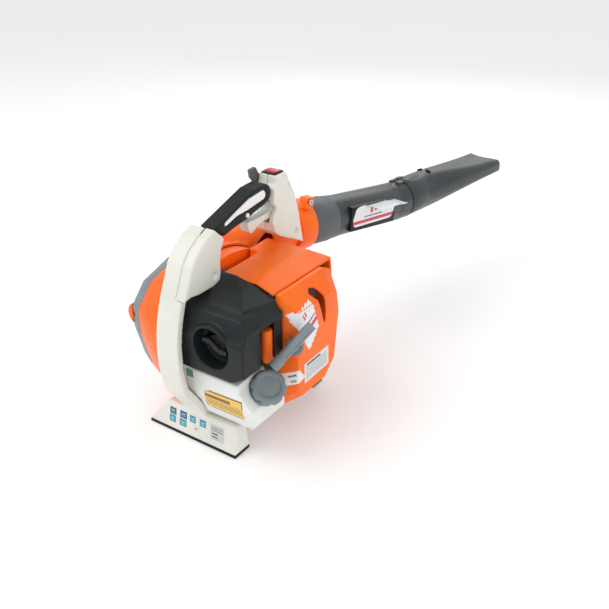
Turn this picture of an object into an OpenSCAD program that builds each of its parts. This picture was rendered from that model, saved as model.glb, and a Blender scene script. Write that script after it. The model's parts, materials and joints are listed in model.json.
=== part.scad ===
// Hand-held petrol leaf blower: engine, fan housing, handle and blower tube.
// +Y is the way it blows, +X is the starter side, +Z is up, and the ground is z = 0.

/* [Feet] */
// Width of the rear foot, side to side
foot_w = 150; // [120:1:180]
// Depth of the rear foot, front to back
foot_d = 31; // [24:1:45]
// Height of the rear foot
foot_h = 46; // [38:1:47]
// Thickness of the rubber pad under the feet
pad_t = 4; // [3:0.5:7]
// Distance between the middles of the rear and front feet
foot_span = 190; // [160:1:215]

/* [Fan] */
// Height of the crankshaft above the ground
axis_h = 126; // [124:1:135]
// Radius of the fan wheel
fan_r = 86; // [70:1:88]
// Width of the fan wheel
fan_w = 52; // [40:1:58]
// Number of fan blades
fan_blades = 12; // [6:1:18]
// Wall of the plastic housings
wall = 3; // [2:0.5:4]
// Outer radius of the fan housing
scroll_r = 113; // [108:1:118]

/* [Engine] */
// Bore of the cylinder
bore_d = 34; // [28:1:36]
// Length of the connecting rod between its eyes
rod_len = 44; // [42:1:48]
// Throw of the crank
crank_throw = 14; // [10:0.5:15]
// Diameter of the crankshaft
journal_d = 12; // [8:0.5:14]
// Radius of the flywheel
flywheel_r = 37; // [32:1:42]
// Radius of the rope pulley
pulley_r = 31; // [24:1:34]
// Bore of the carburettor
carb_bore = 13; // [9:0.5:16]

/* [Handle] */
// Width of the grip, side to side
grip_w = 25; // [22:1:30]
// Width of the two handle shells together
post_w = 30; // [28:1:36]
// Width of the curved frame
band_w = 35; // [28:1:36]
// Thickness of the curved frame
band_t = 10; // [8:1:16]
// Width of the throttle trigger
trigger_w = 14; // [10:1:18]
// Diameter of the trigger pin
pin_d = 5; // [3:0.5:6]

/* [Tube] */
// Outer diameter of the blower tube
tube_d = 65; // [58:1:67]
// Wall of the blower tube
tube_wall = 2.2; // [1.5:0.1:3]
// Outer diameter of the cuff at the outlet
cuff_d = 71; // [70:1:78]
// Length of the cuff
cuff_len = 40; // [30:1:50]
// Length of the nozzle
nozzle_len = 250; // [200:1:320]
// Width of the nozzle mouth
mouth_w = 72; // [60:1:95]
// Height of the nozzle mouth
mouth_h = 30; // [24:1:44]

/* [Tank and cap] */
// Wall of the fuel tank
tank_wall = 2.4; // [1.5:0.1:3.5]
// Diameter of the fuel cap
cap_d = 45; // [38:1:50]
// Depth of the fuel cap
cap_h = 19; // [14:1:24]

/* [Filter cover] */
// Diameter of the round recess in the filter cover
recess_d = 54; // [44:1:58]
// Depth of the round recess
recess_deep = 22; // [16:1:26]
// Diameter of the choke knob's spindle
spindle_d = 6; // [4:0.5:8]

/* [Fits] */
// Radial clearance of a shaft that turns in its bore
run_fit = 0.06; // [0.02:0.01:0.1]
// Gap left between pieces that don't touch
gap = 0.4; // [0.3:0.1:0.8]

/* [Hidden] */
$fn = 64;

orange = "#ff6a20";
cream = "#ecebe0";
charcoal = "#2c2f31";
grey = "#7d8a8e";
steel = "#b9bcbe";
alloy = "#c9cbca";

axis_y = -28;                       // crankshaft, front to back
handle_x = -10;                     // middle of the grip and the two posts
foot_y = -129.5 + foot_d / 2;       // middle of the rear foot
foot_x = -21;
split_x = -42;                      // joint between the two fan housing halves
guard_x = -104;                     // joint between the fan housing and the intake guard
guard_end = -127;
fan_x = -64;                        // middle of the fan
engine_x = 32;                      // middle of the cylinder
cover_split = 74;                   // joint between the engine shroud and the starter cover
eps = 0.01;

// ---- helpers ----
// Points of an arc in a plane
function arc(c, r, a0, a1, n = 12) = [for (i = [0 : n])
    let (a = a0 + (a1 - a0) * i / n) [c[0] + r * cos(a), c[1] + r * sin(a)]];

// Extrude an outline drawn in (y, z) from x0 to x1
module along_x(x0, x1) {
    translate([x0, 0, 0]) rotate([90, 0, 90]) linear_extrude(x1 - x0) children();
}

// Extrude an outline drawn in (x, z) from y0 to y1
module along_y(y0, y1) {
    translate([0, y1, 0]) rotate([90, 0, 0]) linear_extrude(y1 - y0) children();
}

// Cylinder along x
module rod_x(x0, x1, y, z, r, r2 = -1) {
    translate([x0, y, z]) rotate([0, 90, 0]) cylinder(h = x1 - x0, r1 = r, r2 = r2 < 0 ? r : r2);
}

// Cylinder along y
module rod_y(y0, y1, x, z, r, r2 = -1) {
    translate([x, y0, z]) rotate([-90, 0, 0]) cylinder(h = y1 - y0, r1 = r, r2 = r2 < 0 ? r : r2);
}

// Round-headed screw along +z from the origin, head at the top
module screw(d, len) {
    translate([0, 0, -len]) cylinder(d = d, h = len + eps);
    difference() {
        cylinder(d = 2 * d, h = 0.7 * d);
        translate([0, 0, 0.3 * d]) cylinder(d = d, h = d, $fn = 6);
    }
}

// ---- feet and frame ----
front_foot_y = foot_y + foot_span;
spine_x0 = -20;
spine_x1 = 6;
front_w = 132;
front_d = 24;

module foot_pad() {
    color(charcoal) {
        translate([foot_x - foot_w / 2, foot_y - foot_d / 2, 0]) cube([foot_w, foot_d, pad_t]);
        translate([foot_x - foot_w / 2 + 12, front_foot_y - front_d / 2, 0])
            cube([front_w, front_d, pad_t]);
        translate([spine_x0, foot_y, 0]) cube([spine_x1 - spine_x0, foot_span, pad_t]);
    }
}

// Curved frame, seen from the side
band_c = [37, 146];
band_r = 200;
module band_outline(top) {
    a_top = 180 - asin((top - band_c[1]) / band_r);
    polygon(concat(arc(band_c, band_r, a_top, 196),
        [[foot_y - 8, foot_h - 2], [foot_y + 6, foot_h - 2]],
        arc(band_c, band_r - band_t, 194, a_top - 1)));
}

// Rear post with its shoulder, seen from the side
post_low = 222;
module rear_post_outline() {
    polygon(concat(arc(band_c, band_r, 180 - asin((post_low - band_c[1]) / band_r), 151.5, 6),
        [[-131, 261], [-118, 276], [-102, 287], [-86, 294]],
        [[-69, 277], [-76, 264], [-79, 250], [-79, 234]],
        arc([-91, 234], 12, 0, -90, 6), [[-122, post_low], [-134, post_low + 2]]));
}

// Grip, seen from the side
grip_nose = [18, 307.5];
nose_r = 13.5;
module grip_outline() {
    difference() {
        polygon(concat([[-66, 278], [-45, 282.5], [-24, 284.5], [-14, 287]],
            arc(grip_nose, nose_r, -70, 105), [[-4, 319.5], [-84, 293]]));
        grip_window();
    }
}

// Window in the grip, which shows the white core
module grip_window() {
    polygon(concat(arc([-61.5, 292.5], 2.5, 110, 270, 6), [[-40, 296], [-16, 297.5]],
        arc([13, 307.5], 6.5, -60, 100), [[-15, 311], [-40, 303]]));
}

peg_at = [-20, 291];
module grip_core() {
    color("#f6f6f2") {
        along_x(handle_x - grip_w / 2 + 1, handle_x + grip_w / 2 - 1) grip_window();
        rod_x(handle_x, handle_x + grip_w / 2 + 1, peg_at[0], peg_at[1], 3);
        along_x(handle_x, handle_x + 6) translate(peg_at - [3, 0]) square([6, 8]);
    }
}

// Tongues of the grip, which the posts hold; more makes their sockets
module grip_tongues(more = 0) {
    w = grip_w - 14 + more;
    translate([handle_x - w / 2, -92, 280 - more / 2]) rotate([18, 0, 0]) cube([w, 22, 9 + more]);
    translate([handle_x - w / 2, grip_nose[0] + 8, 303 - more / 2]) cube([w, 20 + more, 8 + more]);
}

module grip_body() {
    along_x(handle_x - grip_w / 2, handle_x + grip_w / 2) grip_outline();
}

module rear_frame() {
    color(cream) {
        intersection() {
            along_y(foot_y - foot_d, foot_y + foot_d)
                polygon([[foot_x - foot_w / 2, pad_t], [foot_x + foot_w / 2, pad_t],
                    [foot_x + foot_w / 2, foot_h], [foot_x - foot_w / 2 + 34, foot_h]]);
            along_x(foot_x - foot_w, foot_x + foot_w)
                difference() {
                    polygon([[foot_y - foot_d / 2, pad_t], [foot_y + foot_d / 2, pad_t],
                        [foot_y + foot_d / 2 - 4, foot_h], [foot_y - foot_d / 2 + 5, foot_h]]);
                    translate([axis_y, axis_h]) circle(scroll_r + gap);
                }
        }
        along_x(-band_w, 0) band_outline(post_low - gap);
        along_x(-band_w, handle_x) band_outline(post_low + 1);
        difference() {
            along_x(-band_w, handle_x) rear_post_outline();
            grip_tongues(gap);
        }
        translate([spine_x0, foot_y, pad_t]) cube([spine_x1 - spine_x0, foot_span, 6]);
        translate([foot_x - foot_w / 2 + 12, front_foot_y - front_d / 2, pad_t])
            cube([front_w, front_d, 24]);
    }
}

module handle_right() {
    color(cream) difference() {
        along_x(handle_x, handle_x + post_w / 2) rear_post_outline();
        grip_tongues(gap);
        rod_x(handle_x + post_w / 2 - 4, handle_x + post_w, -91, 236, 4);
    }
}

module grip() {
    color(charcoal) {
        difference() {
            grip_body();
            along_x(-band_w - 1, handle_x + post_w / 2 + gap) rear_post_outline();
            rod_x(handle_x, handle_x + grip_w, peg_at[0], peg_at[1], 3);
            along_x(handle_x, handle_x + 6) translate(peg_at - [3, 0]) square([6, 8]);
        }
        grip_tongues();
    }
}

// ---- control housing, trigger and switch ----
trig_y = 46;
trig_z = 283;
lever_y = 52;
lever_z = 300;
post_x0 = handle_x - post_w / 2;
post_x1 = handle_x + post_w / 2;
switch_y = 51;
switch_z = 326;
module control_outline() {
    polygon([[34, 300], [34, 310], [39, 316], [40, switch_z], [62, switch_z], [71, 310],
        [81, 293], [91, 261], [102, 213],
        [76, 226], [46, 240], [34, 250], [30, 264], [32, 274], [40, 281], [33, 291]]);
}

module control_half(x0, x1) {
    color(cream) difference() {
        along_x(x0, x1) control_outline();
        grip_tongues(gap);
        // pocket for the trigger, its bore and the switch's well
        translate([handle_x - trigger_w / 2 - gap, 20, 262]) cube([trigger_w + 2 * gap, 37, 32]);
        rod_x(handle_x - post_w / 2 + 6, handle_x + post_w / 2 - 6, trig_y, trig_z, pin_d / 2);
        translate([handle_x - 8.5, switch_y - 7.5, switch_z - 9]) cube([17, 15, 20]);
        rod_x(handle_x - post_w, handle_x - post_w / 2 + 8, lever_y, lever_z, 4 + run_fit);
        rod_x(handle_x + post_w / 2 - 4, handle_x + post_w, 84, 236, 4);
        rod_x(handle_x + post_w / 2 - 3, handle_x + post_w, 68, 306, 3);
    }
}

module control_left() { control_half(post_x0, handle_x); }
module control_right() { control_half(handle_x, post_x1); }

module throttle_trigger() {
    color(cream) difference() {
        along_x(handle_x - trigger_w / 2, handle_x + trigger_w / 2)
            polygon(concat([[36, 270], [20, 269], [4, 265]], arc([-6, 266], 5, -70, -180, 5),
                [[-14, 273], [-13, 278], [10, 277], [36, 278]], arc([trig_y, trig_z], 7, 150, -90, 10)));
        rod_x(handle_x - trigger_w, handle_x + trigger_w, trig_y, trig_z, pin_d / 2 + run_fit);
        for (i = [0 : 5]) translate([handle_x - trigger_w, -7 + i * 6, 263 + i * 0.9])
            cube([2 * trigger_w, 1.2, 2.6]);
    }
}

module trigger_pin() {
    color(steel) rod_x(handle_x - post_w / 2 + 6, handle_x + post_w / 2 - 6, trig_y, trig_z, pin_d / 2);
}

module setting_lever() {
    color("#6d6660") {
        rod_x(post_x0 - 6, post_x0 - gap, lever_y, lever_z, 8);
        rod_x(post_x0 - 3, post_x0 + 7, lever_y, lever_z, 4);
        along_x(post_x0 - 6, post_x0 - gap) polygon([[lever_y - 7, lever_z], [lever_y - 26, lever_z + 22],
            [lever_y - 28, lever_z + 33], [lever_y - 16, lever_z + 34], [lever_y + 6, lever_z]]);
    }
}

module switch_bezel() {
    color(charcoal) difference() {
        translate([handle_x - 11, switch_y - 10, switch_z]) cube([22, 20, 2]);
        translate([handle_x - 8.5, switch_y - 7.5, switch_z - 1]) cube([17, 15, 4]);
    }
}

module stop_switch() {
    color("#d8404a") along_x(handle_x - 8, handle_x + 8)
        polygon(concat(arc([switch_y, switch_z - 2], 5.5, 0, -180, 8), [[switch_y - 6.8, switch_z + 1],
            [switch_y - 6.4, switch_z + 5], [switch_y, switch_z + 2.5], [switch_y + 6.4, switch_z + 3]]));
}

// ---- fan housing ----
out_yaw = 12.5;
out_at = [-41, 179, 207];
out_pitch = -5;
spigot_r = cuff_d / 2 - tube_wall - 0.1;

// Frame of the outlet: local +y runs along the tube
module outlet(pitch = out_pitch) {
    translate(out_at) rotate([0, 0, -out_yaw]) rotate([pitch, 0, 0]) children();
}

module duct(more = 0, deep = 180) {
    outlet(0) rod_y(-deep, -50, 0, 0, spigot_r - 3 + more, spigot_r - 1 + more);
    outlet() rod_y(-56, 14, 0, 0, spigot_r + more);
}

// Outline of the intake end, seen from the side
module guard_outline(k = 1) {
    translate([axis_y, axis_h]) scale(k) polygon([[-94, 8], [-94, 44], [-66, 74], [-10, 92], [50, 78],
        [88, 40], [92, -14], [66, -66], [16, -94], [-40, -88], [-80, -46]]);
}

module scroll_shape(less = 0) {
    hull() {
        rod_x(split_x - 12, split_x, axis_y, axis_h, scroll_r - less, $fn = 48);
        along_x(guard_x + less, guard_x + less + 0.5) guard_outline(1 - less / 100);
    }
}

screw_angles = [30, 100, 190, 300];
module volute_outer() {
    color(orange) difference() {
        union() {
            scroll_shape();
            duct(0, 160);
        }
        scroll_shape(wall);
        rod_x(split_x - 1, split_x + 30, axis_y, axis_h, scroll_r - wall);
        duct(-wall, 140);
        rod_x(guard_x - 1, guard_x + 2 * wall, axis_y, axis_h, fan_r * 0.66);
        // the two halves meet on a flat plane behind the outlet
        translate([split_x, axis_y - 150, 0]) cube([100, 260, 300]);
    }
}

module volute_inner() {
    color(orange) difference() {
        rod_x(split_x, split_x + 20, axis_y, axis_h, scroll_r - 4);
        rod_x(split_x - 1, split_x + 20 - wall, axis_y, axis_h, scroll_r - 4 - wall);
        rod_x(split_x, split_x + 30, axis_y, axis_h, journal_d / 2 + 2);
        duct(gap, 180);
        along_x(split_x - 1, 30) band_clear();
        for (a = screw_angles)
            rod_x(split_x, split_x + 30, axis_y + 96 * cos(a), axis_h + 96 * sin(a), 2.05);
    }
}

// Room for the curved frame round the inner housing half
module band_clear() {
    difference() {
        translate([-200, 0]) square([100, 330]);
        translate(band_c) circle(band_r - band_t - gap, $fn = 96);
    }
    translate([-200, 0]) square([500, 22]);
}

module intake_guard() {
    color(grey) difference() {
        union() {
            difference() {
                hull() {
                    along_x(guard_x - 1, guard_x - 0.1) guard_outline(1);
                    along_x(guard_end, guard_end + 1) guard_outline(0.88);
                }
                rod_x(guard_end - 1, guard_x + 1, axis_y, axis_h, fan_r * 0.8);
            }
            for (i = [0 : 11]) translate([guard_end + 4, axis_y, axis_h]) rotate([i * 30, 0, 0])
                translate([0, -1.5, 15]) cube([14, 3, fan_r * 0.8 - 14]);
            for (r = [34, 54]) difference() {
                rod_x(guard_end + 4, guard_end + 14, axis_y, axis_h, r);
                rod_x(guard_end, guard_x, axis_y, axis_h, r - 2.5);
            }
            rod_x(guard_end + 2, guard_end + 14, axis_y, axis_h, 18);
        }
        translate([guard_end - 1, axis_y - 95, 150]) cube([8, 20, 6]);
    }
}

module guard_latch() {
    color(orange) intersection() {
        rod_y(axis_y - 84, axis_y - 70, guard_end + 9, 153, 17);
        translate([guard_end - 8, axis_y - 84, 130]) cube([8 - eps, 14, 44]);
    }
}

module fan_wheel() {
    x1 = fan_x + fan_w / 2;
    color("#3a3d3f") difference() {
        union() {
            rod_x(x1 - 3, x1, axis_y, axis_h, fan_r);
            rod_x(fan_x - 10, x1, axis_y, axis_h, 16);
            difference() {
                rod_x(fan_x - fan_w / 2, fan_x - fan_w / 2 + 2, axis_y, axis_h, fan_r);
                rod_x(fan_x - fan_w, fan_x, axis_y, axis_h, fan_r * 0.7);
            }
            for (i = [0 : fan_blades - 1])
                translate([0, axis_y, axis_h]) rotate([i * 360 / fan_blades, 0, 0])
                along_x(fan_x - fan_w / 2, x1 - 1) difference() {
                    polygon(concat(arc([0.63, 0.16] * fan_r, 0.7 * fan_r, 156, 96),
                                   arc([0.63, 0.16] * fan_r, 0.7 * fan_r - 2.5, 96, 156)));
                    difference() {
                        circle(fan_r * 2);
                        circle(fan_r - 0.5);
                    }
                    circle(fan_r * 0.45);
                }
        }
        rod_x(fan_x - fan_w, fan_x + fan_w, axis_y, axis_h, journal_d / 2);
    }
}

module fan_nut() {
    color(steel) difference() {
        rod_x(fan_x - 18, fan_x - 10, axis_y, axis_h, journal_d, $fn = 6);
        rod_x(fan_x - 19, fan_x - 9, axis_y, axis_h, journal_d / 2);
    }
}

module outlet_collar() {
    color(orange) outlet() difference() {
        union() {
            rod_y(-44, -13, 0, 0, cuff_d / 2 + 3);
            translate([16, -34, 34]) cube([14, 14, 16]);
        }
        rod_y(-60, 0, 0, 0, spigot_r);
        rod_y(-45, -19.9, 0, 0, spigot_r + 0.1);
        rod_x(10, 40, -27, 44, 3);
    }
}

module collar_screw() {
    color(steel) outlet() translate([31, -27, 44]) rotate([0, 90, 0]) screw(4, 18);
}

// ---- blower tube and nozzle ----
run_1 = 186;                        // straight stretch, measured from the outlet's frame
bend_up = 7.5;
bend_r = 250;
joint_len = 22;                     // how far the tube reaches into the nozzle
sides = 48;                         // sides of the swept skins

// Middle of a ring of points
function middle(ring, i = 0, sum = [0, 0, 0]) =
    i < len(ring) ? middle(ring, i + 1, sum + ring[i]) : sum / len(ring);

// Skin through rings of equal length, closed at both ends
module skin(rings) {
    m = len(rings[0]);
    n = len(rings) - 1;
    points = concat([for (ring = rings) each ring], [middle(rings[0]), middle(rings[n])]);
    c = m * (n + 1);
    walls = [for (j = [0 : n - 1]) for (i = [0 : m - 1])
        let (a = j * m + i, b = (j + 1) * m + i, e = (j + 1) * m + (i + 1) % m, d = j * m + (i + 1) % m)
        each [[a, e, b], [a, d, e]]];
    ends = [for (i = [0 : m - 1]) let (k = (i + 1) % m)
        each [[c, k, i], [c + 1, n * m + i, n * m + k]]];
    polyhedron(points, concat(walls, ends));
}

// Ring round the bend at angle t, with radius r
function bend_ring(t, r) = [for (i = [0 : sides - 1]) let (a = i * 360 / sides, q = bend_r - r * sin(a))
    [r * cos(a), run_1 + q * sin(t), bend_r - q * cos(t)]];

module tube_end() {
    translate([0, run_1 + bend_r * sin(bend_up), bend_r * (1 - cos(bend_up))])
        rotate([bend_up, 0, 0]) children();
}

module tube_bend(r) {
    skin([for (t = [0 : bend_up / 6 : bend_up + eps]) bend_ring(t, r)]);
}

module blower_tube() {
    bore_r = tube_d / 2 - 2 * tube_wall;
    color("#3c4144") outlet() difference() {
        union() {
            rod_y(-12, cuff_len - 12, 0, 0, cuff_d / 2);
            rod_y(cuff_len - 12 - eps, cuff_len + 20, 0, 0, cuff_d / 2 - 0.6, tube_d / 2);
            rod_y(cuff_len + 20 - eps, run_1 + 0.2, 0, 0, tube_d / 2);
            tube_bend(tube_d / 2 - 0.05);
            tube_end() {
                rod_y(-0.2, joint_len, 0, 0, tube_d / 2 - tube_wall - run_fit);
                for (a = [-12, 12]) rotate([0, a, 0]) translate([-4, -14, tube_d / 2 - 1]) cube([8, 13, 4]);
            }
        }
        rod_y(-13, 14 + gap, 0, 0, spigot_r + 0.05);
        rod_y(10, cuff_len + 20, 0, 0, spigot_r - 3, bore_r);
        rod_y(cuff_len + 20 - eps, run_1 + 0.2, 0, 0, bore_r);
        tube_bend(bore_r - 0.05);
        tube_end() rod_y(-0.2, joint_len + 1, 0, 0, bore_r);
    }
}

plate_at = 62;                      // where the label plate starts along the tube
plate_len = 104;
module label_plate() {
    color("#24282a") outlet() difference() {
        translate([tube_d / 2 - 12, plate_at, -18]) cube([15, plate_len, 39]);
        rod_y(plate_at - 1, plate_at + plate_len + 1, 0, 0, tube_d / 2 + 0.02);
    }
}

// Cross-section of the nozzle: k runs from 0 at its sleeve to 1 at its mouth
function ease(k) = k * k * (3 - 2 * k);
function power(v, e) = sign(v) * pow(abs(v), e);
function section(k, less) = let (
    w = (tube_d * (1 - ease(k)) + mouth_w * ease(k)) / 2 - less,
    h = (tube_d * (1 - ease(k)) + mouth_h * ease(k)) / 2 - less,
    e = 1 - 0.4 * ease(k))
    [for (i = [0 : sides - 1]) let (a = i * 360 / sides) [w * power(cos(a), e), h * power(sin(a), e)]];

module loft(from, to, less, n = 12) {
    skin([for (j = [0 : n]) [for (p = section(j / n, less)) [p[0], from + (to - from) * j / n, p[1]]]]);
}

module nozzle() {
    color("#3a3f42") outlet() tube_end() difference() {
        union() {
            rod_y(gap, joint_len + 20, 0, 0, tube_d / 2);
            loft(joint_len + 19, nozzle_len, 0.05);
            for (a = [-12, 12]) rotate([0, a, 0]) translate([-5, 2, tube_d / 2 - 1]) cube([10, 12, 4]);
        }
        rod_y(-1, joint_len + 20, 0, 0, tube_d / 2 - tube_wall);
        loft(joint_len + 18, nozzle_len + eps, tube_wall + 0.05);
        translate([0, nozzle_len + 26, -50]) cylinder(r = 40, h = 100);
    }
}

// ---- engine ----
case_r = 38;
deck_z = axis_h + 40;
case_x0 = engine_x - 30;
case_x1 = engine_x + 30;
web_r = 27;
fin_half = 27;
head_z = deck_z + 47;
crown_z = axis_h + crank_throw + rod_len + 12;

module crankcase() {
    color(alloy) difference() {
        union() {
            rod_x(case_x0, case_x1, axis_y, axis_h, case_r);
            translate([engine_x - 25, axis_y - 25, axis_h]) cube([50, 50, 40]);
        }
        rod_x(engine_x - 18, engine_x + 18, axis_y, axis_h, web_r + 3);
        for (x = [case_x0 - 1, engine_x + 18 - eps])
            rod_x(x, x + 13, axis_y, axis_h, journal_d / 2 + 8);
        translate([engine_x, axis_y, axis_h]) cylinder(d = bore_d, h = 60);
    }
}

module bearings() {
    color(steel) for (x = [case_x0 + 3, case_x1 - 11]) difference() {
        rod_x(x, x + 8, axis_y, axis_h, journal_d / 2 + 8);
        rod_x(x - 1, x + 9, axis_y, axis_h, journal_d / 2 + run_fit);
    }
}

module crankshaft() {
    color(steel) {
        rod_x(fan_x - 26, engine_x - 14, axis_y, axis_h, journal_d / 2);
        rod_x(engine_x - 15, engine_x - 6, axis_y, axis_h, web_r);
        rod_x(engine_x + 6, engine_x + 15, axis_y, axis_h, web_r);
        rod_x(engine_x + 14, cover_split + 4, axis_y, axis_h, journal_d / 2);
    }
}

module crank_pin() {
    color(steel) rod_x(engine_x - 6 + gap, engine_x + 6 - gap, axis_y, axis_h + crank_throw, 5);
}

module connecting_rod() {
    z0 = axis_h + crank_throw;
    color(alloy) difference() {
        union() {
            rod_x(engine_x - 4, engine_x + 4, axis_y, z0, 9);
            rod_x(engine_x - 4, engine_x + 4, axis_y, z0 + rod_len, 7.5);
            translate([engine_x - 3, axis_y - 4, z0]) cube([6, 8, rod_len]);
        }
        rod_x(engine_x - 5, engine_x + 5, axis_y, z0, 5 + run_fit);
        rod_x(engine_x - 5, engine_x + 5, axis_y, z0 + rod_len, 4 + run_fit);
    }
}

module piston() {
    z1 = axis_h + crank_throw + rod_len;
    color(alloy) {
        difference() {
            translate([engine_x, axis_y, z1 - 10]) cylinder(d = bore_d - 2 * run_fit, h = crown_z - z1 + 10);
            translate([engine_x, axis_y, z1 - 11]) cylinder(d = bore_d - 7, h = 20);
            rod_x(engine_x - 30, engine_x + 30, axis_y, z1, 4);
            for (z = [4, 7.5]) translate([engine_x, axis_y, crown_z - z]) difference() {
                cylinder(d = bore_d + 2, h = 1.4);
                translate([0, 0, -1]) cylinder(d = bore_d - 3, h = 4);
            }
        }
        rod_x(engine_x - bore_d / 2 + 2, engine_x + bore_d / 2 - 2, axis_y, z1, 4);
    }
}

plug_tilt = 15;
module plug_place() {
    translate([engine_x, axis_y + 4, head_z - 10]) rotate([-90 + plug_tilt, 0, 0]) children();
}

module cylinder_block() {
    difference() {
        union() {
            translate([engine_x, axis_y, deck_z]) cylinder(d = bore_d + 9, h = head_z - deck_z - 1);
            for (z = [deck_z + 7 : 5 : head_z - 1]) translate([engine_x - fin_half, axis_y - fin_half, z])
                cube([2 * fin_half, 2 * fin_half, 1.8]);
            translate([engine_x - 25, axis_y - 25, deck_z]) cube([50, 50, 4]);
            translate([engine_x - 14, axis_y - fin_half, deck_z + 2]) cube([28, 10, 26]);
            translate([engine_x - 15, axis_y + fin_half - 10, deck_z + 4]) cube([30, 10, 22]);
            plug_place() cylinder(r = 9, h = 24);
        }
        translate([engine_x, axis_y, deck_z - 1]) cylinder(d = bore_d, h = crown_z - deck_z + 3);
        rod_y(axis_y - fin_half - 1, axis_y, engine_x, deck_z + 14, carb_bore / 2);
        rod_y(axis_y, axis_y + fin_half + 1, engine_x, deck_z + 15, 8);
        plug_place() translate([0, 0, -2]) cylinder(d = 12, h = 40);
    }
}
module engine_cylinder() { color(alloy) cylinder_block(); }

module spark_plug() {
    color(steel) plug_place() {
        cylinder(d = 12, h = 24);
        translate([0, 0, 24]) cylinder(d = 18, h = 8, $fn = 6);
        translate([0, 0, 32 - eps]) cylinder(d = 10, h = 18);
    }
}

module plug_boot() {
    color(charcoal) plug_place() difference() {
        translate([0, 0, 33]) cylinder(d = 18, h = 24);
        translate([0, 0, 32]) cylinder(d = 10, h = 18);
    }
}

module ignition_coil() {
    color("#303234") translate([case_x1 - 1, axis_y - 17, axis_h + case_r + 1.2]) cube([12, 34, 18]);
}

fly_x = case_x1 + 1.5;
module flywheel() {
    color(alloy) difference() {
        union() {
            rod_x(fly_x, fly_x + 5, axis_y, axis_h, flywheel_r);
            rod_x(fly_x, cover_split + 4, axis_y, axis_h, 13);
            for (i = [0 : 11]) translate([fly_x, axis_y, axis_h]) rotate([i * 30, 0, 0])
                translate([0, -1.5, 12]) cube([cover_split - fly_x - 1, 3, flywheel_r - 14]);
        }
        rod_x(fly_x - 1, cover_split + 5, axis_y, axis_h, journal_d / 2);
    }
}

carb_z = deck_z + 14;
carb_y1 = axis_y - fin_half - 12;   // front face of the carburettor
carb_y0 = carb_y1 - 26;
module inlet_flange() {
    color(charcoal) difference() {
        translate([engine_x - 17, carb_y1, carb_z - 14]) cube([34, 12, 28]);
        rod_y(carb_y1 - 1, carb_y1 + 13, engine_x, carb_z, carb_bore / 2);
    }
}

valve_y = carb_y1 - 9;
module carburettor() {
    color(alloy) difference() {
        translate([engine_x - 17, carb_y0, carb_z - 17]) cube([34, 26, 34]);
        rod_y(carb_y0 - 1, carb_y1 + 1, engine_x, carb_z, carb_bore / 2);
        rod_x(engine_x - 20, engine_x + 20, valve_y, carb_z, 1.5 + run_fit);
    }
}

module throttle_valve() {
    color(steel) {
        rod_y(valve_y - 0.5, valve_y + 0.5, engine_x, carb_z, carb_bore / 2 - 0.15);
        rod_x(engine_x - 18, engine_x + 21, valve_y, carb_z, 1.5);
        translate([engine_x + 18, valve_y - 2, carb_z - 2]) cube([2.5, 4, 12]);
    }
}

base_y = carb_y0 - 5;
module filter_base() {
    color(charcoal) difference() {
        translate([-2, base_y, 142]) cube([70, 5, 62]);
        rod_y(base_y - 1, base_y + 6, engine_x, carb_z, carb_bore / 2);
    }
}

module air_filter() {
    color("#d9d3b8") difference() {
        translate([4, base_y - 11, 150]) cube([60, 11, 50]);
        translate([16, base_y - 5, 162]) cube([36, 6, 26]);
    }
}

// ---- filter cover and choke ----
cover_y0 = -146;
cover_y1 = -66;
cover_x0 = -12;
cover_x1 = 88;
recess_x = 38;
recess_z = 170;
module cover_shape(less) {
    intersection() {
        along_y(cover_y0 + less, cover_y1 - gap / 2 + (less > 0 ? 5 : 0))
            polygon([[cover_x0 + less, 132 + less], [68, 132 + less], [cover_x1 - less, 144 + less],
                [cover_x1 - less, 200 - less], [75, 211 - less], [46, 222 - less], [16, 228 - less],
                [cover_x0 + less, 228 - less]]);
        along_x(cover_x0 - 20, cover_x1 + 20)
            polygon([[cover_y0 + less, 132], [cover_y0 + less, 184 - less], [cover_y0 + 5, 190 - less],
                [cover_y0 + 14, 210 - less], [cover_y1 + 5, 231 - less], [cover_y1 + 5, 130]]);
    }
}

module filter_cover() {
    color("#33383b") difference() {
        union() {
            difference() {
                cover_shape(0);
                cover_shape(wall);
            }
            difference() {
                rod_y(cover_y0, cover_y0 + recess_deep + wall, recess_x, recess_z, recess_d / 2 + wall);
                rod_y(cover_y0 - 1, cover_y0 + recess_deep, recess_x, recess_z, recess_d / 2);
            }
        }
        rod_y(cover_y0 - 1, cover_y0 + recess_deep, recess_x, recess_z, recess_d / 2);
        rod_y(cover_y0, cover_y0 + 60, recess_x, recess_z, spindle_d / 2 + run_fit);
        // slot in the right-hand side, and room for the rear post
        translate([cover_x1 - 12, -111, 138]) cube([20, 28, 56]);
        translate([cover_x0 - 1, cover_y0 - 1, post_low - 3]) cube([post_x1 - cover_x0 + 2, 70.5, 30]);
        translate(post_at) cylinder(r = post_r, h = 30);
        // opening towards the tank, under the carburettor
        translate([cover_x0 + 8, cover_y0 + 30, 130]) cube([cover_x1 - cover_x0 - 24, 60, 10]);
    }
}

module choke_knob() {
    y0 = cover_y0 + 7;
    y1 = cover_y0 + recess_deep - gap;
    color("#26292b") {
        rod_y(y0 + 6, y1, recess_x, recess_z, 13);
        rod_y(y1 - 1, y1 + 10, recess_x, recess_z, spindle_d / 2);
        for (a = [0, 180]) translate([recess_x, 0, recess_z]) rotate([0, a + 20, 0])
            along_y(y0, y1) polygon([[-4, -3], [10, -6], [20, -1], [19, 5], [8, 2], [-4, 4]]);
    }
}

post_at = [77.5, -86, 137];
post_r = 7.3;
module cover_post() {
    color(orange) {
        translate(post_at) cylinder(r = post_r, h = 44);
        translate(post_at + [0, 0, 44]) cylinder(r1 = post_r, r2 = post_r - 1.2, h = 1.2);
    }
}

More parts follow.
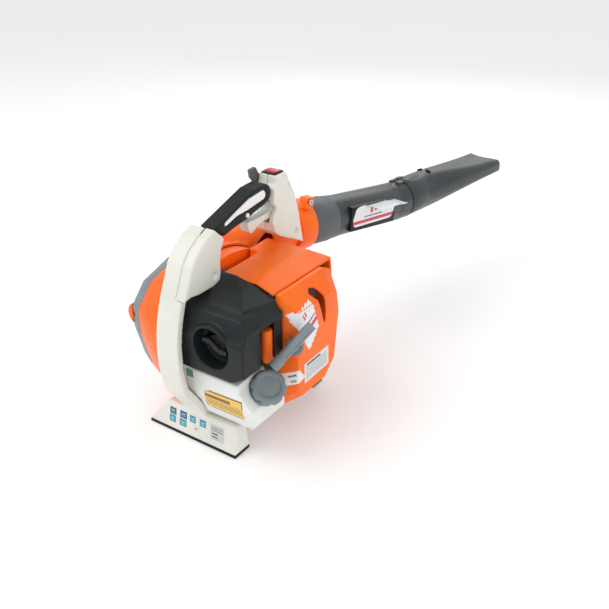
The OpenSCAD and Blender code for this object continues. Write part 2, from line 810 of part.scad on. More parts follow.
// ---- tank ----
tank_x0 = -19;
tank_x1 = 90;
cap_at = [86, -98, 105];
cap_tilt = 42;
cap_head = -38;
neck_r = cap_d / 2 - 5;
module cap_place() {
    translate(cap_at) rotate([0, 0, cap_head]) rotate([0, cap_tilt, 0]) children();
}

// Flat face cut for the cap, and the corner left free for the starter
module tank_cuts(more) {
    cap_place() translate([0, 0, -3 - more]) cylinder(d = cap_d + 2 * gap + 2 * more, h = 60);
    translate([73 - more, -67 - more, 0]) cube([50, 90, 200]);
    translate([-40, -150, 0]) cube([40.5 + more, 38.5 + more, 75.3 + more]);
}

module tank_shape(less) {
    difference() {
        intersection() {
            along_x(tank_x0 + less, tank_x1 - less)
                polygon([[-137 + less, 124 - less], [-137 + less, 92], [-119 + less, foot_h + 4 + less],
                    [-24 - less, foot_h + 4 + less], [-16 - less, 62], [-16 - less, 80 - less],
                    [-74 - less, 80 - less], [-82 - less, 124 - less]]);
            along_y(-150, 0)
                polygon([[tank_x0 + less, foot_h + 3], [76 - less, foot_h + 3], [tank_x1 - less, 66],
                    [tank_x1 - less, 90], [70 - less, 112 - less * 0.4], [70 - less, 126],
                        [tank_x0 + less, 126]]);
        }
        tank_cuts(less);
    }
}

module fuel_tank() {
    color("#f4f4f0") difference() {
        union() {
            tank_shape(0);
            cap_place() translate([0, 0, -24]) cylinder(r = neck_r, h = 28);
        }
        tank_shape(tank_wall);
        cap_place() translate([0, 0, -32]) cylinder(r = neck_r - 2.5, h = 60);
        translate([engine_x, -88, 100]) cylinder(r = 3, h = 40);
    }
}

module fuel_cap() {
    color(grey) cap_place() difference() {
        union() {
            difference() {
                translate([0, 0, 4 + gap - cap_h + 12]) cylinder(d = cap_d, h = cap_h - 5);
                translate([0, 0, 4 + gap - cap_h]) cylinder(r = neck_r + gap, h = cap_h);
            }
            translate([0, 0, 11 - 0.01]) cylinder(r1 = cap_d / 2, r2 = cap_d / 2 - 3, h = 3);
            translate([0, 0, -6]) cylinder(r = neck_r - 2.5 - run_fit, h = 12);
        }
        for (i = [0 : 7]) rotate([0, 0, i * 45]) translate([cap_d / 2 + 3, 0, -20]) cylinder(r = 5, h = 50);
    }
}

module fuel_line() {
    color("#4a4a3c") translate([engine_x, -88, 72]) difference() {
        cylinder(r = 3, h = carb_z - 17 - 72);
        translate([0, 0, -1]) cylinder(r = 1.5, h = carb_z);
    }
}

// ---- muffler, shroud and starter ----
module muffler() {
    y0 = axis_y + fin_half;
    color("#6c6a66") difference() {
        translate([engine_x - 24, y0, 154]) cube([50, 56, 40]);
        translate([engine_x - 22, y0 + 2, 156]) cube([46, 52, 36]);
        rod_y(y0 - 1, y0 + 3, engine_x, deck_z + 15, 8);
        rod_x(engine_x + 20, engine_x + 30, y0 + 30, 172, 6);
    }
}

shroud_x0 = -18;
module shroud_shape(less) {
    intersection() {
        along_y(cover_y1 - 10, 74 - less)
            polygon([[shroud_x0, 60], [cover_split - gap / 2, 60], [cover_split - gap / 2, 219 - less],
                [44, 229 - less], [shroud_x0, 236 - less]]);
        along_x(shroud_x0 - 1, cover_split + 1)
            polygon([[cover_y1 + gap / 2 - less, 40], [cover_y1 + gap / 2 - less, 227 - less],
                [-20, 231 - less], [46, 233 - less],
                [66 - less, 220 - less], [70 - less, 190], [66 - less, 60], [54 - less, 40]]);
    }
}

module hand_room(more) {
    translate([-34, -80 - more, 262]) rotate([-90, 0, 0]) cylinder(r = 46 + more, h = 86 + 2 * more);
}

module engine_shroud() {
    color(orange) difference() {
        shroud_shape(0);
        hand_room(0);
        difference() {
            shroud_shape(wall);
            hand_room(wall);
        }
        translate([shroud_x0 - 1, -60, 59]) cube([wall + 2, 120, 150]);
        translate([-50, cover_y1 - 1, 30]) cube([50 + cover_split + 20, 60, 100]);
    }
}

module starter_outline(k) {
    translate([axis_y, 130]) scale(k)
        polygon([[-37, -62], [-26, -76], [46, -76], [76, -50], [88, 40], [80, 80], [62, 88],
            [-34, 88], [-37, 70]]);
}

module starter_shape(less) {
    hull() {
        along_x(cover_split, cover_split + 6 + less * 0.1) starter_outline(1 - less / 90);
        along_x(101 - less, 104 - less) starter_outline(0.76 - less / 90);
    }
}

// Frame of the starter cord's eye: local +z is the way it is pulled, local +x the grip's bar
boss_at = [101, -60, 151];
pull_head = -65;
pull_tilt = 56;
pull_roll = -38;
module cord_place() {
    translate(boss_at) rotate([0, 0, pull_head]) rotate([0, pull_tilt, 0])
        rotate([0, 0, pull_roll]) children();
}

// Room for the pulley and its spring
module pulley_room() {
    rod_x(cover_split, 99.5, axis_y, axis_h, pulley_r + 1);
}

module starter_cover() {
    color(orange) difference() {
        union() {
            difference() {
                starter_shape(0);
                starter_shape(wall);
                translate([cover_split - 31, axis_y - 40, 70]) cube([32, 120, 130]);
            }
            rod_x(82, 102, axis_y, axis_h, 7);
            difference() {
                cord_place() translate([0, 0, -18]) cylinder(r = 12, h = 20);
                pulley_room();
            }
        }
        cord_place() translate([0, 0, -40]) cylinder(r = 8, h = 60);
        cord_place() translate([0, 0, 2]) cylinder(r = 11.5, h = 20);
        // cooling slots
        along_x(86, 130) polygon([[-18, 206], [-12, 209], [-6, 208.5], [-1, 205], [3, 197],
            [6, 185], [7.3, 172],
            [7, 161], [5, 157], [3, 159], [0, 168], [-3, 178], [-7, 188], [-11, 196], [-15, 201]]);
        for (i = [0 : 2]) along_x(90, 130) difference() {
            polygon(arc([-60, 182], 74 + 8 * i, 16, -18 + 8 * i, 8));
            polygon(arc([-60, 182], 72.6 + 8 * i, 30, -30, 8));
            translate([-80, 100]) square([60, 120]);
        }
    }
}

module starter_pulley() {
    color(charcoal) difference() {
        rod_x(83, 91, axis_y, axis_h, pulley_r);
        rod_x(82, 92, axis_y, axis_h, 7 + run_fit);
        difference() {
            rod_x(85, 89, axis_y, axis_h, pulley_r + 1);
            rod_x(84, 90, axis_y, axis_h, pulley_r - 9);
        }
    }
}

module recoil_spring() {
    color(steel) difference() {
        rod_x(92, 98, axis_y, axis_h, pulley_r - 4);
        rod_x(91, 99, axis_y, axis_h, 7.5);
    }
}

module rope_bush() {
    color(grey) difference() {
        cord_place() {
            translate([0, 0, -14]) cylinder(r = 8, h = 16 + eps);
            translate([0, 0, 2]) cylinder(r = 11, h = 5);
        }
        cord_place() translate([0, 0, -20]) cylinder(r = 3, h = 40);
        pulley_room();
    }
}

module starter_grip() {
    color(grey) cord_place() {
        translate([0, 0, 7 + gap]) cylinder(r1 = 7, r2 = 6, h = 8);
        translate([0, 0, -9]) cylinder(r = 2, h = 19);
        translate([0, 0, 20]) rotate([0, -90, 0]) translate([0, 0, -bar_len / 2]) grip_bar();
    }
}

bar_len = 70;
module grip_bar() {
    difference() {
        union() {
            cylinder(r = 6.5, h = bar_len);
            cylinder(r = 7.5, h = 14);
        }
        for (i = [0 : 2]) for (a = [0 : 90 : 270])
            rotate([0, 0, a + 45]) translate([5.8, -1, 20 + i * 15]) cube([2, 2, 12]);
    }
}

module buffers() {
    color(charcoal) for (a = [40, 160, 280])
        rod_x(split_x + 20, case_x0, axis_y + 28 * cos(a), axis_h + 28 * sin(a), 8);
}

module housing_screws() {
    color(steel) for (a = screw_angles)
        translate([split_x + 20, axis_y + 96 * cos(a), axis_h + 96 * sin(a)])
            rotate([0, 90, 0]) screw(4, 6);
}

foot_pad();
rear_frame();
handle_right();
grip();
grip_core();
control_left();
control_right();
throttle_trigger();
trigger_pin();
setting_lever();
switch_bezel();
stop_switch();
volute_inner();
volute_outer();
intake_guard();
guard_latch();
fan_wheel();
fan_nut();
outlet_collar();
collar_screw();
blower_tube();
label_plate();
nozzle();
crankcase();
crankshaft();
bearings();
crank_pin();
connecting_rod();
piston();
engine_cylinder();
spark_plug();
plug_boot();
ignition_coil();
flywheel();
carburettor();
throttle_valve();
inlet_flange();
filter_base();
air_filter();
filter_cover();
choke_knob();
fuel_tank();
fuel_cap();
fuel_line();
muffler();
engine_shroud();
cover_post();
starter_cover();
starter_pulley();
recoil_spring();
rope_bush();
starter_grip();
buffers();
housing_screws();
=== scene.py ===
import json
import math

import bpy
from mathutils import Matrix, Vector


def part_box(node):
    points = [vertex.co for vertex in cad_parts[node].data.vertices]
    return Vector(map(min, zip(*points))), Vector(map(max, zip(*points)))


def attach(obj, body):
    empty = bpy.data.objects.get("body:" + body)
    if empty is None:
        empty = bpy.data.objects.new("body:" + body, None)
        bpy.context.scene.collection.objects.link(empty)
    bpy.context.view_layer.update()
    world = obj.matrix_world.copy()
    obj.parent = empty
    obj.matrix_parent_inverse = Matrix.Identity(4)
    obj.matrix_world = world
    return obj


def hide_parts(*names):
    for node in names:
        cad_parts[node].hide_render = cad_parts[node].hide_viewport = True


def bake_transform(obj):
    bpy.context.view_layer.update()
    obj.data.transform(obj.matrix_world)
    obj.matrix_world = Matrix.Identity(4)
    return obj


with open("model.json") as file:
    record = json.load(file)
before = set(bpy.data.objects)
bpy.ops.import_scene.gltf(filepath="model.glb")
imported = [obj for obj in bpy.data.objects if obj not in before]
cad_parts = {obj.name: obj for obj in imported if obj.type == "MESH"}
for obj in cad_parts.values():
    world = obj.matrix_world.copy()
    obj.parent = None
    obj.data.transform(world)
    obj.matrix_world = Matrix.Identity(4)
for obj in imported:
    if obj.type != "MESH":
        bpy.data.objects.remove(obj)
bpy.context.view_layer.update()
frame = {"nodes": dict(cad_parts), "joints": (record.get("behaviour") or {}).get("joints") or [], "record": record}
nodes = frame["nodes"]
record = frame["record"]
joints = {j["name"]: j for j in frame["joints"]}
bodyOf = {n: b for b, group in record["behaviour"]["bodies"].items() for n in group}
slotOf = {s["node"]: s["material_slot"] for s in record["subparts"]}
mm = 0.001
print("frame loaded:", len(nodes), "nodes")


# shader sums written as plain expressions
class Wire:
    def __init__(self, maker, socket):
        self.maker = maker
        self.socket = socket

    def join(self, operation, first, second=0.0):
        return self.maker.node("ShaderNodeMath", {"operation": operation}, {0: first, 1: second})

    def __add__(self, other):
        return self.join("ADD", self, other)

    def __radd__(self, other):
        return self.join("ADD", other, self)

    def __sub__(self, other):
        return self.join("SUBTRACT", self, other)

    def __rsub__(self, other):
        return self.join("SUBTRACT", other, self)

    def __mul__(self, other):
        return self.join("MULTIPLY", self, other)

    def __rmul__(self, other):
        return self.join("MULTIPLY", other, self)

    def __abs__(self):
        return self.join("ABSOLUTE", self)

    def __gt__(self, other):
        return self.join("GREATER_THAN", self, other)

    def __lt__(self, other):
        return self.join("LESS_THAN", self, other)


class Finish:
    def __init__(self, name):
        self.material = bpy.data.materials.new(name)
        self.material.use_nodes = True
        self.tree = self.material.node_tree
        self.shader = next(n for n in self.tree.nodes if n.type == "BSDF_PRINCIPLED")
        self.place = self.node("ShaderNodeTexCoord", out="Object")

    def node(self, kind, settings=None, inputs=None, out=0):
        made = self.tree.nodes.new(kind)
        for key, value in (settings or {}).items():
            setattr(made, key, value)
        for key, value in (inputs or {}).items():
            self.feed(made.inputs[key], value)
        return Wire(self, made.outputs[out])

    def feed(self, socket, value):
        if isinstance(value, Wire):
            self.tree.links.new(value.socket, socket)
        elif socket.type == "RGBA" and len(value) == 3:
            socket.default_value = (*value, 1)
        else:
            socket.default_value = value

    def noise(self, scale, detail=3, stretch=None):
        where = self.place
        if stretch:
            where = self.node("ShaderNodeMapping", inputs={"Vector": self.place, "Scale": stretch})
        return self.node("ShaderNodeTexNoise", inputs={"Vector": where, "Scale": scale, "Detail": detail})

    def spread(self, value, low, high, toLow=0.0, toHigh=1.0):
        return self.node("ShaderNodeMapRange", {"interpolation_type": "SMOOTHSTEP"},
                         {0: value, 1: low, 2: high, 3: toLow, 4: toHigh})

    def blend(self, mask, first, second):
        return self.node("ShaderNodeMix", {"data_type": "RGBA"}, {0: mask, 6: first, 7: second}, 2)

    def along(self, direction, start):
        # distance of a point from a plane through start
        offset = self.node("ShaderNodeVectorMath", {"operation": "SUBTRACT"},
                           {0: self.place, 1: tuple(start)})
        return self.node("ShaderNodeVectorMath", {"operation": "DOT_PRODUCT"},
                         {0: offset, 1: tuple(direction)}, "Value")

    def wear(self, color, rough, height=None, depth=0.0001):
        self.feed(self.shader.inputs["Base Color"], color)
        self.feed(self.shader.inputs["Roughness"], rough)
        if height is not None:
            bumped = self.node("ShaderNodeBump",
                               inputs={"Height": height, "Distance": depth, "Strength": 1.0})
            self.feed(self.shader.inputs["Normal"], bumped)
        return self


# moulded plastics: colour drift, handling marks, and a fine moulded grain
plasticLooks = {
    "creamShell": dict(color=(0.78, 0.78, 0.71), shade=(0.71, 0.71, 0.64),
                       rough=0.38, grain=700, depth=0.02),
    "orangeShell": dict(color=(1.0, 0.165, 0.008), shade=(0.94, 0.125, 0.004),
                        rough=0.34, grain=500, depth=0.012),
    "whiteTank": dict(color=(0.84, 0.85, 0.83), shade=(0.76, 0.77, 0.75),
                      rough=0.33, grain=350, depth=0.02),
    "whiteCore": dict(color=(0.92, 0.92, 0.91), shade=(0.86, 0.86, 0.85),
                      rough=0.40, grain=600, depth=0.01),
    "greyTrim": dict(color=(0.205, 0.245, 0.262), shade=(0.165, 0.20, 0.215),
                     rough=0.45, grain=800, depth=0.03),
    "charcoalShell": dict(color=(0.012, 0.016, 0.018), shade=(0.007, 0.010, 0.011),
                          rough=0.46, grain=1300, depth=0.07),
    "charcoalTrim": dict(color=(0.011, 0.013, 0.014), shade=(0.006, 0.008, 0.009),
                         rough=0.42, grain=900, depth=0.03),
    "leverBrown": dict(color=(0.125, 0.105, 0.095), shade=(0.095, 0.080, 0.072),
                       rough=0.45, grain=700, depth=0.03),
    "fanBlack": dict(color=(0.030, 0.031, 0.033), shade=(0.020, 0.021, 0.022),
                     rough=0.42, grain=600, depth=0.03),
}
finishes = {}


def mouldedFinish(name, look):
    made = Finish(name)
    drift = made.spread(made.noise(14, 4), 0.38, 0.66)
    color = made.blend(drift * 0.6, look["color"], look["shade"])
    rubbed = made.spread(made.noise(60, 5, (1, 6, 1)), 0.55, 0.80)
    grain = made.noise(look["grain"], 3)
    rough = look["rough"] + rubbed * 0.10 + (grain - 0.5) * 0.10
    return made.wear(color, rough, grain, look["depth"] * mm)


for name, look in plasticLooks.items():
    finishes[name] = mouldedFinish(name, look)
finishes["whiteTank"].shader.inputs["Subsurface Weight"].default_value = 0.12
finishes["whiteTank"].shader.inputs["Subsurface Radius"].default_value = (0.004, 0.004, 0.004)

rubberLook = dict(color=(0.009, 0.012, 0.012), shade=(0.020, 0.024, 0.024), rough=0.55)


def rubberFinish(name, ribs):
    made = Finish(name)
    dust = made.spread(made.noise(30, 6), 0.45, 0.75)
    color = made.blend(dust * 0.7, rubberLook["color"], rubberLook["shade"])
    pebble = made.noise(1500, 2)
    height = pebble * 0.25
    if ribs:
        # two moulded lines along the top of the grip
        low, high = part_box("grip")
        across = made.node("ShaderNodeSeparateXYZ", inputs={0: made.place}, out="X")
        groove = made.spread(abs(abs(across - (low.x + high.x) / 2) - 4 * mm), 0.3 * mm, 0.9 * mm)
        height = height + groove
    rough = rubberLook["rough"] + dust * 0.14
    return made.wear(color, rough, height, 0.3 * mm)


finishes["gripRubber"] = rubberFinish("gripRubber", True)
finishes["plainRubber"] = rubberFinish("plainRubber", False)
for name in ("charcoalShell", "charcoalTrim", "gripRubber", "plainRubber", "orangeShell"):
    finishes[name].shader.inputs["Specular IOR Level"].default_value = 0.28


# tube plastic: a seam along both sides, and a paler band next to the housing
tubeLook = dict(color=(0.040, 0.047, 0.051), shade=(0.028, 0.034, 0.037), seam=(0.012, 0.014, 0.015),
                band=(0.100, 0.112, 0.120), bandShade=(0.082, 0.092, 0.099))
nozzleJoint = joints["nozzle_turn"]
bendEnd = Vector(nozzleJoint["pos_m"])
nozzleWay = Vector(nozzleJoint["axis"]).normalized()
sideWay = nozzleWay.cross(Vector((0, 0, 1))).normalized()
nozzleUp = sideWay.cross(nozzleWay).normalized()
tubeWay = Matrix.Rotation(math.radians(-7.5), 3, sideWay) @ nozzleWay
tubeUp = sideWay.cross(tubeWay).normalized()
bendStart = bendEnd - tubeWay * 32.6 * mm - tubeUp * 2.1 * mm


def tubeFinish(name, upWay, start, bandEnd):
    made = Finish(name)
    drift = made.spread(made.noise(9, 5), 0.35, 0.68)
    tone = made.blend(drift, tubeLook["color"], tubeLook["shade"])
    seam = made.spread(abs(made.along(upWay, start)), 0.3 * mm, 0.8 * mm, 1.0, 0.0)
    grain = made.noise(900, 3)
    scuff = made.spread(made.noise(40, 6, (1, 0.25, 1)), 0.56, 0.8)
    rough = 0.34 + scuff * 0.14 + (grain - 0.5) * 0.08
    if bandEnd is not None:
        band = made.spread(made.along(tubeWay, bandEnd), -0.4 * mm, 0.4 * mm, 1.0, 0.0)
        tone = made.blend(band, tone, made.blend(drift, tubeLook["band"], tubeLook["bandShade"]))
        rough = rough + band * 0.14
        seam = seam * (1 - band)
    tone = made.blend(seam * 0.7, tone, tubeLook["seam"])
    return made.wear(tone, rough, grain * 0.12 - seam, 0.25 * mm)


seamDrop = 6 * mm
bandReach = 146 * mm
finishes["tubeBody"] = tubeFinish("tubeBody", tubeUp, bendStart - tubeUp * seamDrop,
                                  bendStart - tubeWay * bandReach)
finishes["nozzleBody"] = tubeFinish("nozzleBody", nozzleUp, bendEnd - nozzleUp * seamDrop, None)


def metalFinish(name, color, rough, brushed):
    made = Finish(name)
    made.shader.inputs["Metallic"].default_value = 1.0
    streak = made.noise(220, 4, (0.08, 1, 1) if brushed else (1, 1, 1))
    stain = made.spread(made.noise(45, 5), 0.5, 0.8)
    tone = made.blend(stain * 0.5, color, tuple(c * 0.6 for c in color))
    return made.wear(tone, rough + streak * 0.18, streak, 0.05 * mm)


finishes["turnedSteel"] = metalFinish("turnedSteel", (0.56, 0.57, 0.58), 0.22, True)
finishes["castAlloy"] = metalFinish("castAlloy", (0.60, 0.61, 0.60), 0.38, False)
finishes["heatedSheet"] = metalFinish("heatedSheet", (0.23, 0.20, 0.18), 0.45, False)


def foamFinish():
    made = Finish("filterFoam")
    cells = made.node("ShaderNodeTexVoronoi", inputs={"Vector": made.place, "Scale": 900})
    color = made.blend(cells, (0.30, 0.26, 0.15), (0.70, 0.64, 0.44))
    return made.wear(color, 0.9, cells, 0.4 * mm)


def rockerFinish():
    made = Finish("redRocker")
    drift = made.spread(made.noise(90, 3), 0.4, 0.6)
    color = made.blend(drift, (0.72, 0.090, 0.115), (0.60, 0.060, 0.085))
    return made.wear(color, 0.30 + made.noise(500) * 0.1)


finishes["filterFoam"] = foamFinish()
finishes["redRocker"] = rockerFinish()
hoseLook = dict(color=(0.16, 0.15, 0.08), shade=(0.11, 0.10, 0.06), rough=0.4, grain=500, depth=0.02)
finishes["fuelHose"] = mouldedFinish("fuelHose", hoseLook)
slotFinish = {
    "cream_plastic": "creamShell", "orange_plastic": "orangeShell", "black_rubber": "plainRubber",
    "white_plastic": "whiteTank", "grey_plastic": "greyTrim", "charcoal_plastic": "charcoalTrim",
    "tube_plastic": "tubeBody", "lever_plastic": "leverBrown", "red_plastic": "redRocker",
    "fan_plastic": "fanBlack", "steel": "turnedSteel", "alloy": "castAlloy",
    "filter_foam": "filterFoam", "fuel_hose": "fuelHose", "muffler_sheet": "heatedSheet",
}
for nodeName, obj in nodes.items():
    for place in obj.material_slots:
        place.material = finishes[slotFinish[slotOf[nodeName]]].material
print("finishes ready:", len(finishes))


def lone(obj):
    bpy.ops.object.select_all(action="DESELECT")
    obj.select_set(True)
    bpy.context.view_layer.objects.active = obj


def takeNode(nodeName, pieceName, flat=0.8):
    # a merged copy of a CAD node, its flat faces whole again
    piece = bpy.data.objects.new(pieceName, nodes[nodeName].data.copy())
    bpy.context.scene.collection.objects.link(piece)
    lone(piece)
    bpy.ops.object.mode_set(mode="EDIT")
    bpy.ops.mesh.select_all(action="SELECT")
    bpy.ops.mesh.remove_doubles(threshold=0.00001)
    bpy.ops.mesh.dissolve_limited(angle_limit=math.radians(flat))
    bpy.ops.object.mode_set(mode="OBJECT")
    return piece


def pickEdges(obj, sharp):
    # selects outward edges sharper than the angle
    mesh = obj.data
    sides = {}
    for face in mesh.polygons:
        for key in face.edge_keys:
            sides.setdefault(key, []).append((face.normal.copy(), face.center.copy()))
    for items in (mesh.vertices, mesh.edges, mesh.polygons):
        items.foreach_set("select", [False] * len(items))
    chosen = 0
    for edge in mesh.edges:
        pair = sides.get(edge.key, [])
        if len(pair) != 2:
            continue
        (normalA, centreA), (normalB, centreB) = pair
        outward = (centreB - centreA).dot(normalA) < 0
        if not outward or normalA.angle(normalB, 0) < math.radians(sharp):
            continue
        edge.select = True
        chosen += 1
    return chosen


def roundEdges(obj, width, segments=3, sharp=28):
    bpy.context.tool_settings.mesh_select_mode = (False, True, False)
    if pickEdges(obj, sharp):
        lone(obj)
        bpy.ops.object.mode_set(mode="EDIT")
        bpy.ops.mesh.bevel(offset=width, segments=segments, affect="EDGES", clamp_overlap=True)
        bpy.ops.object.mode_set(mode="OBJECT")


def smoothShade(obj, angle=40):
    lone(obj)
    bpy.ops.object.shade_smooth_by_angle(angle=math.radians(angle))


def dress(obj, body, finish):
    obj.data.materials.clear()
    obj.data.materials.append(finishes[finish].material)
    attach(obj, body)
    return obj


def applyModifier(obj, kind, settings):
    lone(obj)
    added = obj.modifiers.new("work", kind)
    for key, value in settings.items():
        setattr(added, key, value)
    bpy.ops.object.modifier_apply(modifier=added.name)


def remould(obj, grid, passes):
    # a closed skin on an even grid, its edges eased as on a moulding
    applyModifier(obj, "REMESH", {"mode": "VOXEL", "voxel_size": grid * mm})
    applyModifier(obj, "SMOOTH", {"factor": 0.5, "iterations": passes})
    lone(obj)
    bpy.ops.object.shade_smooth()


def stepUp(obj, planes, lift):
    # the outer skin above all the planes rises by one step
    lone(obj)
    bpy.context.tool_settings.mesh_select_mode = (False, False, True)
    for point, normal in planes:
        bpy.ops.object.mode_set(mode="EDIT")
        bpy.ops.mesh.select_all(action="SELECT")
        bpy.ops.mesh.bisect(plane_co=point, plane_no=normal)
        bpy.ops.mesh.select_all(action="DESELECT")
        bpy.ops.object.mode_set(mode="OBJECT")
    middle = sum((Vector(c) for c in obj.bound_box), Vector()) / 8
    for face in obj.data.polygons:
        above = all((face.center - Vector(point)).dot(Vector(normal)) > 0 for point, normal in planes)
        out = face.normal.dot(face.center - middle) > 0.004 and face.normal.y < 0.5
        face.select = above and out
    bpy.ops.object.mode_set(mode="EDIT")
    bpy.ops.mesh.extrude_region_shrink_fatten(TRANSFORM_OT_shrink_fatten={"value": lift * mm})
    bpy.ops.object.mode_set(mode="OBJECT")


def dishTop(obj, facing, rim, depth):
    # the face at the end is sunk inside a rim
    best = max(face.center.dot(facing) for face in obj.data.polygons if face.normal.dot(facing) > 0.99)
    for face in obj.data.polygons:
        face.select = face.normal.dot(facing) > 0.99 and face.center.dot(facing) > best - 0.2 * mm
    lone(obj)
    bpy.context.tool_settings.mesh_select_mode = (False, False, True)
    bpy.ops.object.mode_set(mode="EDIT")
    bpy.ops.mesh.inset(thickness=rim * mm)
    bpy.ops.mesh.inset(thickness=depth * mm, depth=-depth * mm)
    bpy.ops.object.mode_set(mode="OBJECT")


# every shell that shows: rounded edges in mm, or an eased skin as (grid mm, passes)
shells = {
    "rear_frame": dict(piece="frameShell", finish="creamShell", skin=(1.5, 16)),
    "handle_right": dict(piece="handleShell", finish="creamShell", skin=(1.1, 24)),
    "grip": dict(piece="gripSleeve", finish="gripRubber", skin=(1.0, 44)),
    "grip_core": dict(piece="gripCore", finish="whiteCore", skin=(0.7, 4)),
    "control_left": dict(piece="controlLeft", finish="creamShell", skin=(1.1, 14)),
    "control_right": dict(piece="controlRight", finish="creamShell", skin=(1.1, 14)),
    "throttle_trigger": dict(piece="triggerBlade", finish="creamShell", edge=0.4),
    "setting_lever": dict(piece="settingArm", finish="leverBrown", skin=(0.7, 7)),
    "switch_bezel": dict(piece="switchRim", finish="charcoalTrim", edge=0.6),
    "stop_switch": dict(piece="switchRocker", finish="redRocker", edge=0.6),
    "volute_outer": dict(piece="fanHousingOuter", finish="orangeShell", edge=1.2),
    "volute_inner": dict(piece="fanHousingInner", finish="orangeShell", edge=1.2),
    "intake_guard": dict(piece="intakeGrille", finish="greyTrim", edge=0.7),
    "guard_latch": dict(piece="grilleLatch", finish="orangeShell", edge=1.2),
    "outlet_collar": dict(piece="outletRing", finish="orangeShell", edge=0.8),
    "blower_tube": dict(piece="tubeShell", finish="tubeBody", edge=0.5),
    "nozzle": dict(piece="nozzleShell", finish="nozzleBody", edge=0.5),
    "label_plate": dict(piece="tubeBadge", finish="charcoalTrim", edge=1.6),
    "filter_cover": dict(piece="coverShell", finish="charcoalShell", skin=(1.2, 12)),
    "choke_knob": dict(piece="chokeHandle", finish="charcoalTrim", skin=(0.8, 5)),
    "fuel_tank": dict(piece="tankShell", finish="whiteTank", skin=(1.4, 12)),
    "fuel_cap": dict(piece="capShell", finish="greyTrim", skin=(0.8, 5)),
    "engine_shroud": dict(piece="shroudShell", finish="orangeShell", skin=(1.4, 3)),
    "starter_cover": dict(piece="starterShell", finish="orangeShell", skin=(1.2, 3)),
    "cover_post": dict(piece="coverPillar", finish="orangeShell", edge=0.6),
    "rope_bush": dict(piece="ropeEye", finish="greyTrim", edge=0.6),
    "starter_grip": dict(piece="pullHandle", finish="greyTrim", edge=0.5),
    "foot_pad": dict(piece="footRubber", finish="plainRubber", edge=0.8),
    "plug_boot": dict(piece="plugCap", finish="plainRubber", edge=1.0),
    "muffler": dict(piece="mufflerBox", finish="heatedSheet", edge=1.0),
}
# the cover's raised cap: planes as (point, normal), and its height in mm
coverSteps = [
    dict(planes=[((0, 0, 0.193), (0, 0, 1))], lift=1.3),
    dict(planes=[((0, 0, 0.203), (0, 0.10, 1)), ((0.028, -0.133, 0.206), (0.55, 0, 0.83))], lift=2.3),
]
shellPieces = {}
for nodeName, plan in shells.items():
    piece = takeNode(nodeName, plan["piece"])
    if nodeName == "filter_cover":
        for step in coverSteps:
            stepUp(piece, step["planes"], step["lift"])
    if nodeName == "fuel_cap":
        dishTop(piece, Vector(joints["cap_turn"]["axis"]).normalized(), 4.0, 1.6)
    if "skin" in plan:
        remould(piece, *plan["skin"])
    else:
        roundEdges(piece, plan["edge"] * mm, 3 if plan["edge"] > 0.9 else 2)
        smoothShade(piece)
    dress(piece, bodyOf[nodeName], plan["finish"])
    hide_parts(nodeName)
    shellPieces[nodeName] = piece
print("shells shaped:", len(shellPieces))


# labels are thin films laid on the shell below, with marks but no lettering; each mark is
# left, low, right and high as shares of the label, its ink, and how many broken lines it has
def labelFinish(name, look):
    made = Finish(name)
    chart = made.node("ShaderNodeTexCoord", out="UV")
    across = made.node("ShaderNodeSeparateXYZ", inputs={0: chart}, out="X")
    upward = Wire(made, across.socket.node.outputs["Y"])
    paper = made.blend(made.noise(400, 3) * 0.35, look["paper"], tuple(c * 0.86 for c in look["paper"]))
    for left, low, right, high, ink, lines in look.get("marks", []):
        mask = (across > left) * (across < right) * (upward > low) * (upward < high)
        if lines:
            wave = made.node("ShaderNodeMath", {"operation": "FRACT"}, {0: upward * lines})
            broken = made.node("ShaderNodeTexNoise", inputs={"Vector": chart, "Scale": 26, "Detail": 4})
            mask = mask * (wave > 0.45) * (broken > 0.42)
        paper = made.blend(mask, paper, ink)
    return made.wear(paper, 0.34 + made.noise(500) * 0.1)


